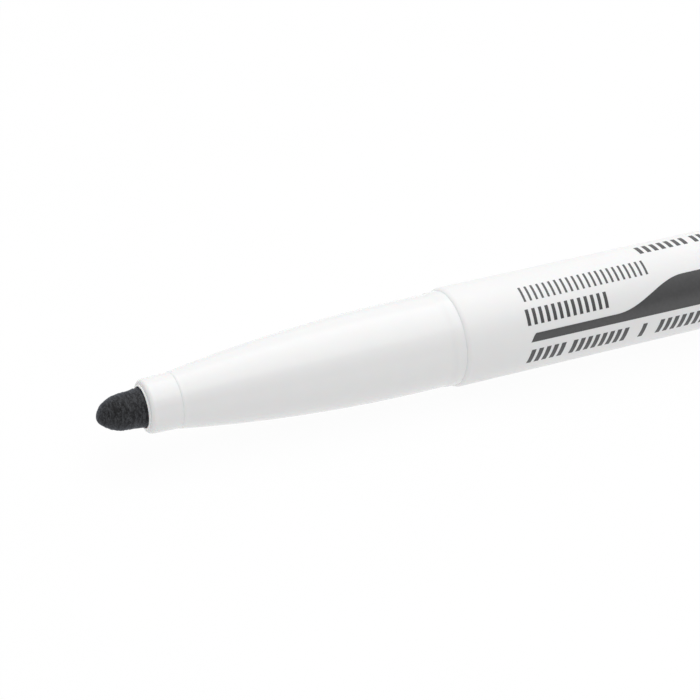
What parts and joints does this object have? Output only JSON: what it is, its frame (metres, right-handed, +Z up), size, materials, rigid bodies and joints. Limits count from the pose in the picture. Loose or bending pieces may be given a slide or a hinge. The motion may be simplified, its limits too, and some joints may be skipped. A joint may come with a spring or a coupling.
{
  "type": "whiteboard marker",
  "caption": "White whiteboard marker with a long tapered nose, a black bullet nib, and a black clip cap posted on the rear plug, lying on its side.",
  "frame": {"origin": "centre of the bounding box's bottom face, on the surface that the marker lies on", "axes": "+X along the marker's axis from the nib to the cap's crown, +Z up, and the cap's clip turned down towards -Y"},
  "size_m": [0.1772, 0.018, 0.0154],
  "materials": {
    "barrel_plastic": "white satin extruded polypropylene",
    "print_ink": "thin dark grey printed ink on the barrel",
    "nose_plastic": "white glossy moulded polypropylene",
    "collar_plastic": "white moulded polypropylene, slightly less glossy than the nose",
    "nib_fibre": "pressed fibre soaked in black ink",
    "wick_fibre": "fibre bundle soaked in black ink",
    "reservoir_film": "thin clear film",
    "plug_plastic": "black moulded polypropylene",
    "cap_plastic": "black moulded polypropylene",
    "seal_plastic": "natural soft polyethylene"
  },
  "bodies": {
    "marker": {"barrel": "barrel_plastic", "nose_section": "nose_plastic", "tip_collar": "collar_plastic", "fibre_nib": "nib_fibre", "ink_reservoir": "wick_fibre", "reservoir_film": "reservoir_film", "end_plug": "plug_plastic"},
    "cap": {"cap_shell": "cap_plastic", "cap_inner_seal": "seal_plastic"}
  },
  "joints": [
    {"name": "cap_slide", "type": "slide", "parent": "marker", "child": "cap", "axis": [1, 0, 0], "range_m": [0, 0.03]}
  ]
}
